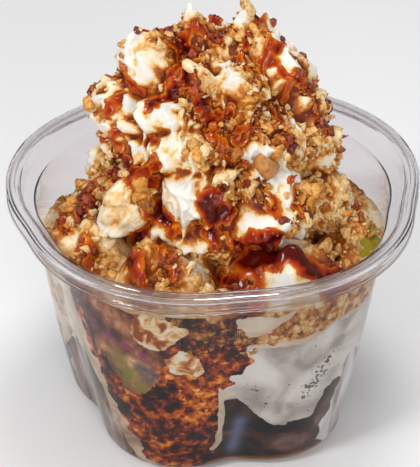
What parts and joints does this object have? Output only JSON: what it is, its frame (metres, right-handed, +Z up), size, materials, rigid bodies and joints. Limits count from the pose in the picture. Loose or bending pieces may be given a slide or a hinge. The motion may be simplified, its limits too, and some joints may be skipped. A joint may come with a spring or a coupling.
{
  "type": "ice cream sundae",
  "caption": "Ice cream sundae: a tall mound of whipped cream with caramel, nuts and biscuit crumbs over layered ice cream and dark syrup, in a clear lobed plastic cup.",
  "frame": {"origin": "centre of the flat underside of the cup's base", "axes": "+Z up, the shown front of the sundae faces -Y, +X to the right seen from the front"},
  "size_m": [0.1165, 0.1164, 0.129],
  "materials": {
    "clear_plastic": "clear thermoformed plastic, thin and glossy",
    "dark_syrup": "dark glossy syrup",
    "speckled_vanilla": "soft ice cream with dark specks",
    "vanilla": "soft pale vanilla ice cream",
    "syrup_crumble": "crumbs soaked in amber syrup",
    "biscuit_crumb": "dry broken biscuit crumbs",
    "whipped_cream": "whipped cream with caramel and crumbs",
    "praline": "candied nut pieces"
  },
  "bodies": {
    "root": {"cup": "clear_plastic", "syrup_pool": "dark_syrup", "scoop_right": "speckled_vanilla", "scoop_left": "vanilla", "scoop_back": "vanilla", "crumble_column": "syrup_crumble", "crumb_layer": "biscuit_crumb", "top_ice_cream": "vanilla", "whipped_cream": "whipped_cream", "praline_left": "praline", "peanut_right": "praline", "praline_right": "praline", "praline_back": "praline", "praline_side": "praline"}
  },
  "joints": []
}
